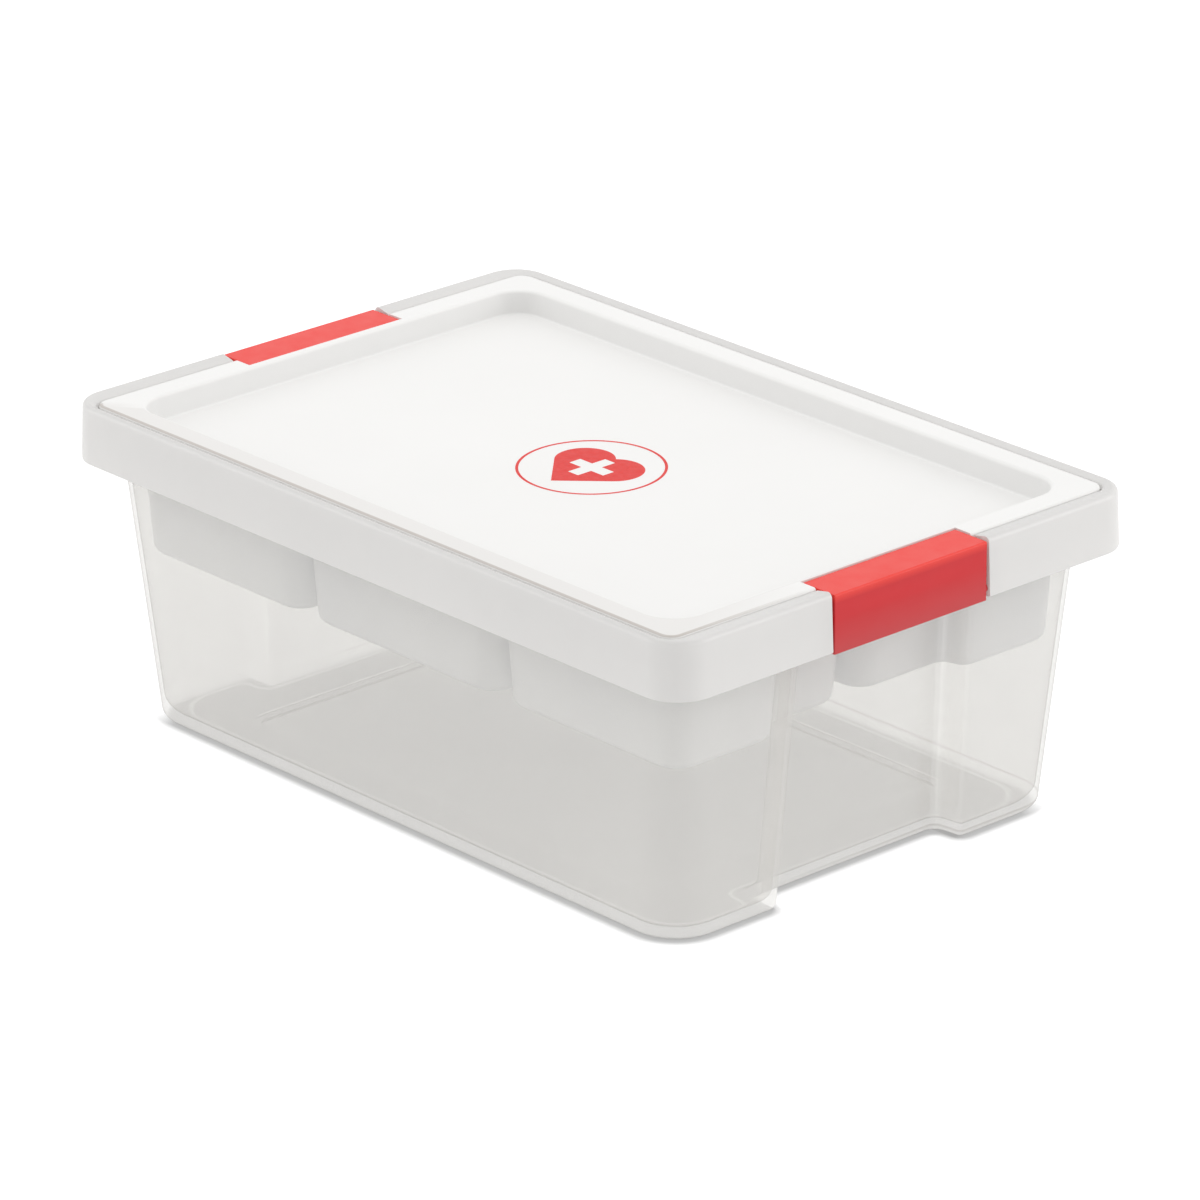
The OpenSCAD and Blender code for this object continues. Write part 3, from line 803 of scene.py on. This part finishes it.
def build_lid(settings):
    """The lid: a skirt, a flat rim with painted shade along its edge, a sunken well and the
    latches' seats.
    """
    bm = bmesh.new()
    bm.verts.layers.float.new(PAINTED_LIGHT_LAYER)
    hx, hy, top, low = LID_HIGH.x, LID_HIGH.y, LID_HIGH.z + 0.4 * MM, LID_SEAT
    t, round_edge = settings.thickness, settings.edge
    floor, slope = LID_HIGH.z - settings.well, settings.lean

    def edge(inset, z):
        return (plate(hx - inset, hy - inset, 7 * MM - inset), z)

    def well(inset, z):
        inwards = settings.rim + inset
        return (plate(hx - inwards, hy - inwards, settings.well_corner - inset), z)

    soft, lip, fillet = 0.35 * MM, 1.6 * MM, 1.5 * MM
    rows = [edge(t, top - t), edge(t, low + soft), edge(t - soft, low), edge(soft, low),
            edge(0, low + soft)]
    rows += [edge(i, top - h) for h, i in quarter(round_edge, 4)]
    rows += [edge(round_edge + 0.7 * MM, top)]
    rows += [well(-i, top - h) for i, h in quarter(lip, 4)]
    rows += [well(slope + i, floor + h) for h, i in quarter(fillet, 4)]
    top_run = wall(bm, rows)
    # painted shade: the outer edge is darkened, and the rim beside it a little, along the front and
    # on the right
    for loops, painted_shade in ((top_run[7:10], 0.7), (top_run[10:12], 0.18)):
        for loop in loops:
            front = min(v.co.y for line in loop for v in line.verts) + 2 * MM
            mark(bm, loop, lambda v: painted_shade if v.co.y < front or v.co.x > 0 > v.co.y else 0.0)
    under = wall(bm, [well(-t, top - t), well(slope - t + 0.3 * MM, floor - t + 1 * MM),
                      well(slope - t + 1.3 * MM, floor - t)])
    fill(bm, top_run[0], under[0])
    fill(bm, top_run[-1])
    fill(bm, under[-1])
    finish_shell(bm)
    lid = to_object(bm, "lid_body")
    seats, cuts = [], []
    seat_x, half = LATCH_LOW.x - 0.8 * MM, LATCH_HALF + 0.8 * MM
    block_x, block_top = hx - 0.9 * MM, top - 0.9 * MM
    for end in (1, -1):
        block = prism([(seat_x - t, LATCH_SILL - t), (block_x, LATCH_SILL - t),
                       (block_x, block_top), (seat_x - t, block_top)], -half - t, half + t)
        seats.append(to_object(turned(block, end), "seat"))
        hole = prism([(seat_x, LATCH_SILL), (hx + 2 * MM, LATCH_SILL), (hx + 2 * MM, top + 2 * MM),
                      (seat_x, top + 2 * MM)], -half, half)
        cuts.append(to_object(turned(hole, end), "seat_cut"))
    combine(lid, seats, "UNION")
    combine(lid, cuts, "DIFFERENCE")
    smooth(lid)
    return lid


# ---- the latches ----

def build_latch(settings, end):
    """One latch: a top flange and a front flap in one bent piece, a catch rib, a barrel and
    pins. end is 1 for the right latch and -1 for the left."""
    name = "latch_right_cap" if end > 0 else "latch_left_cap"
    x0, x1, z1 = LATCH_LOW.x, LATCH_HIGH.x, LATCH_HIGH.z
    z0, under, bend = COLLAR_EDGE - 1.3 * MM, LATCH_HIGH.z - settings.flange, 1.0 * MM
    points = [(x0, under), (x1 - settings.flap, under), (x1 - settings.flap, z0), (x1, z0)]
    points += [(x1 - i, z1 - h) for h, i in quarter(bend, 5)]
    points += [(x0, z1)]
    bm = prism(points, -LATCH_HALF, LATCH_HALF)
    edges = [e for e in bm.edges if e.calc_face_angle(0) > math.radians(40)]
    bmesh.ops.bevel(bm, geom=edges, offset=settings.edge, offset_type="OFFSET", segments=3,
                    profile=0.5, affect="EDGES", material=-1, clamp_overlap=True)
    rib_x, rib_half = NOTCH_X + 0.25 * MM, LATCH_HALF - 0.6 * MM
    rib = prism([(rib_x, under - 4 * MM), (rib_x + 1.4 * MM, under - 4 * MM),
                 (rib_x + 1.4 * MM, under + 0.5 * MM), (rib_x, under + 0.5 * MM)],
                -rib_half, rib_half)
    barrel = rod(BARREL_RADIUS, 40, 2 * LATCH_HALF)
    pins = rod(PIN_RADIUS, 40, 2 * (NOTCH_HALF + CHEEK - 0.06 * MM))
    latch = to_object(turned(bm, end), name)
    combine(latch, [to_object(turned(part, end), "part") for part in (rib, barrel, pins)], "UNION")
    smooth(latch)
    return latch


# ---- operators ----

class BOX_OT_tub(bpy.types.Operator):
    """Model the clear tub with its collar, feet and latch notches"""
    bl_idname = "first_aid_box.tub"
    bl_label = "Tub"

    def execute(self, context):
        s = context.scene.box_tub
        plastic = clear_plastic("clear_tub_plastic", s.colour, s.haze, s.glow, s.milk, s.recess)
        dress(build_tub(s), plastic, "tub", "clear_tub", "tub")
        return {"FINISHED"}


class BOX_OT_tray(bpy.types.Operator):
    """Model the tray of six cups"""
    bl_idname = "first_aid_box.tray"
    bl_label = "Cup tray"

    def execute(self, context):
        s = context.scene.box_tray
        plastic = clear_plastic("milky_tray_plastic", s.colour, s.haze, s.glow)
        dress(build_tray(s, context.scene.box_tub), plastic, "tray", "clear_tray", "tray")
        return {"FINISHED"}


class BOX_OT_lid(bpy.types.Operator):
    """Model the white lid with its sunken well"""
    bl_idname = "first_aid_box.lid"
    bl_label = "Lid"

    def execute(self, context):
        s = context.scene.box_lid
        dress(build_lid(s), white_plastic("white_lid_plastic", s.colour), "lid", "white_lid", "lid")
        return {"FINISHED"}


class BOX_OT_latches(bpy.types.Operator):
    """Model the red latch at each end"""
    bl_idname = "first_aid_box.latches"
    bl_label = "Latches"

    def execute(self, context):
        s = context.scene.box_latch
        finish = red_plastic("red_latch_plastic", s.colour)
        for end, side in ((1, "latch_right"), (-1, "latch_left")):
            dress(build_latch(s, end), finish, side, "red_latch", side)
        return {"FINISHED"}


class BOX_OT_badge(bpy.types.Operator):
    """Give the printed ring and heart their ink"""
    bl_idname = "first_aid_box.badge"
    bl_label = "Printed badge"

    def execute(self, context):
        ink = red_ink("red_print_ink", context.scene.box_badge.colour)
        for node in ("badge_ring", "badge_heart"):
            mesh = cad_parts[node].data
            mesh.materials.clear()
            mesh.materials.append(ink)
        return {"FINISHED"}


class BOX_OT_stage(bpy.types.Operator):
    """Set up the floor, the soft light and the camera"""
    bl_idname = "first_aid_box.stage"
    bl_label = "Studio"

    def execute(self, context):
        s = context.scene.box_studio
        add_floor(s, context.scene.box_tub)
        add_sky(s)
        add_lamps(s)
        add_camera(s)
        context.scene.view_settings.view_transform = "Standard"
        context.scene.cycles.transparent_max_bounces = 32
        context.scene.cycles.diffuse_bounces = 8
        return {"FINISHED"}


def under_box(g, x, y, tub):
    """1 under the box's base, with its end recesses and rounded corners, and 0 beside it."""
    y = g.math("ABSOLUTE", y)
    x = g.math("ADD", g.math("ABSOLUTE", x),
               g.span(y, tub.recess, 0, RECESS_HALF - 3 * MM, RECESS_HALF - 2 * MM))
    out_x = g.math("MAXIMUM", g.math("SUBTRACT", x, BASE_X - tub.corner), 0)
    out_y = g.math("MAXIMUM", g.math("SUBTRACT", y, BASE_Y - tub.corner), 0)
    reach = g.math("SQRT", g.math("ADD", g.math("MULTIPLY", out_x, out_x),
                                  g.math("MULTIPLY", out_y, out_y)))
    return g.span(reach, 1, 0, tub.corner - 3.5 * MM, tub.corner - 1.0 * MM)


def add_floor(settings, tub):
    """A pale floor that shows white, with the box's shadow on it, darkest right beside the box.
    It brightens itself where it is seen, less so in a painted contact shadow and in painted shade
    under the box."""
    bm = bmesh.new()
    bmesh.ops.create_grid(bm, x_segments=1, y_segments=1, size=6.0)
    bmesh.ops.translate(bm, vec=(0, 0, -0.0002), verts=bm.verts)
    floor = to_object(bm, "studio_floor")
    g = Graph("pale_floor")
    path = g.add("ShaderNodeLightPath").outputs
    seen = g.math("MAXIMUM", g.math("MAXIMUM", path["Is Camera Ray"], path["Is Glossy Ray"]),
                  path["Is Transmission Ray"])
    contact = g.add("ShaderNodeAmbientOcclusion", {"Distance": 5.5 * MM}).outputs["AO"]
    veiled = g.math("MINIMUM", path["Transparent Depth"], 1.0)
    air = g.math("MAXIMUM", g.span(contact, 0.36, 1, 0.5, 0.97), veiled)
    # the painted contact shadow fades out along the back and the left end
    x, y, _ = g.add("ShaderNodeSeparateXYZ", {"Vector": g.place}).outputs
    air = g.math("MAXIMUM", air, g.span(y, 0, 1, BASE_Y - 30 * MM, BASE_Y - 5 * MM))
    air = g.math("MAXIMUM", air, g.span(x, 1, 0, 5 * MM - BASE_X, 30 * MM - BASE_X))
    air = g.math("MULTIPLY", air, g.span(under_box(g, x, y, tub), 1, settings.shelter, 0, 1))
    base = g.add("ShaderNodeBsdfDiffuse", {"Color": shade(settings.floor, 1.0)})
    strength = g.math("MULTIPLY", air, g.span(seen, settings.bounce, settings.lift, 0, 1))
    lift = g.add("ShaderNodeEmission", {"Strength": strength})
    both = g.add("ShaderNodeAddShader", {0: base.outputs[0], 1: lift.outputs[0]})
    floor.data.materials.append(g.out(both.outputs[0]))


def add_sky(settings):
    """Soft white light from all round, with a white background behind the box."""
    world = bpy.data.worlds.new("soft_white_room")
    bpy.context.scene.world = world
    world.use_nodes = True
    tree = world.node_tree
    tree.nodes.clear()
    path = tree.nodes.new("ShaderNodeLightPath").outputs
    light = tree.nodes.new("ShaderNodeBackground")
    light.inputs[0].default_value = (1, 1, 1, 1)
    light.inputs[1].default_value = settings.sky
    shown = tree.nodes.new("ShaderNodeBackground")
    shown.inputs[0].default_value = (1, 1, 1, 1)
    mix = tree.nodes.new("ShaderNodeMixShader")
    out = tree.nodes.new("ShaderNodeOutputWorld")
    seen = path["Is Camera Ray"]
    for kind in ("Is Glossy Ray", "Is Transmission Ray"):
        most = tree.nodes.new("ShaderNodeMath")
        most.operation = "MAXIMUM"
        tree.links.new(seen, most.inputs[0])
        tree.links.new(path[kind], most.inputs[1])
        seen = most.outputs[0]
    tree.links.new(seen, mix.inputs[0])
    tree.links.new(light.outputs[0], mix.inputs[1])
    tree.links.new(shown.outputs[0], mix.inputs[2])
    tree.links.new(mix.outputs[0], out.inputs[0])


def add_lamps(settings):
    """Three large lamps, overhead and to the left and right of the camera."""
    for name, place, size, power in (("overhead", (-0.35, 0.25, 1.6), (1.6, 1.2), settings.lamp),
                                     ("left", (-1.15, -1.15, 0.6), (1.1, 0.9), settings.left),
                                     ("right", (1.15, 1.15, 0.6), (1.1, 0.9), settings.right)):
        data = bpy.data.lights.new(name, "AREA")
        data.shape, data.energy = "RECTANGLE", power
        data.size, data.size_y = size
        lamp = bpy.data.objects.new(name, data)
        lamp.location = place
        away = Vector(place) - Vector((0, 0, 0.1))
        lamp.rotation_euler = away.to_track_quat("Z", "Y").to_euler()
        bpy.context.scene.collection.objects.link(lamp)


def add_camera(settings):
    """The camera that was fitted to the photograph."""
    turn, dip, roll = CAMERA_TURN, CAMERA_DIP, CAMERA_ROLL
    ahead = Vector((-math.sin(turn) * math.cos(dip), math.cos(turn) * math.cos(dip),
                    -math.sin(dip)))
    right = Vector((math.cos(turn), math.sin(turn), 0))
    down = ahead.cross(right)
    right, down = (right * math.cos(roll) + down * math.sin(roll),
                   down * math.cos(roll) - right * math.sin(roll))
    data = bpy.data.cameras.new("camera")
    data.sensor_width, data.lens = 36.0, settings.lens
    data.clip_start, data.clip_end = 0.1, 50.0
    camera = bpy.data.objects.new("camera", data)
    camera.matrix_world = (Matrix.Translation(CAMERA_PLACE)
                           @ Matrix((right, -down, -ahead)).transposed().to_4x4())
    bpy.context.scene.collection.objects.link(camera)
    bpy.context.scene.camera = camera


class BOX_PT_panel(bpy.types.Panel):
    """Settings and steps of the first aid box"""
    bl_label = "First Aid Box"
    bl_idname = "BOX_PT_panel"
    bl_space_type = "VIEW_3D"
    bl_region_type = "UI"
    bl_category = "First Aid Box"

    def draw(self, context):
        for group, step in zip(GROUPS, STEPS):
            box = self.layout.box()
            settings = getattr(context.scene, group)
            for name in settings.bl_rna.properties.keys():
                if name not in ("rna_type", "name"):
                    box.prop(settings, name)
            box.operator(step.bl_idname)


STEPS = (BOX_OT_tub, BOX_OT_tray, BOX_OT_lid, BOX_OT_latches, BOX_OT_badge, BOX_OT_stage)
CLASSES = (*GROUPS.values(), *STEPS, BOX_PT_panel)


def register():
    """Registers the classes and hangs the settings on the scene."""
    for cls in CLASSES:
        bpy.utils.register_class(cls)
    for name, group in GROUPS.items():
        setattr(bpy.types.Scene, name, PointerProperty(type=group))


def unregister():
    """Takes the settings and the classes away again."""
    for name in GROUPS:
        delattr(bpy.types.Scene, name)
    for cls in reversed(CLASSES):
        bpy.utils.unregister_class(cls)


def main():
    """Builds every piece and the studio."""
    register()
    for step in ("tub", "tray", "lid", "latches", "badge", "stage"):
        getattr(bpy.ops.first_aid_box, step)()


if __name__ == "__main__":
    main()
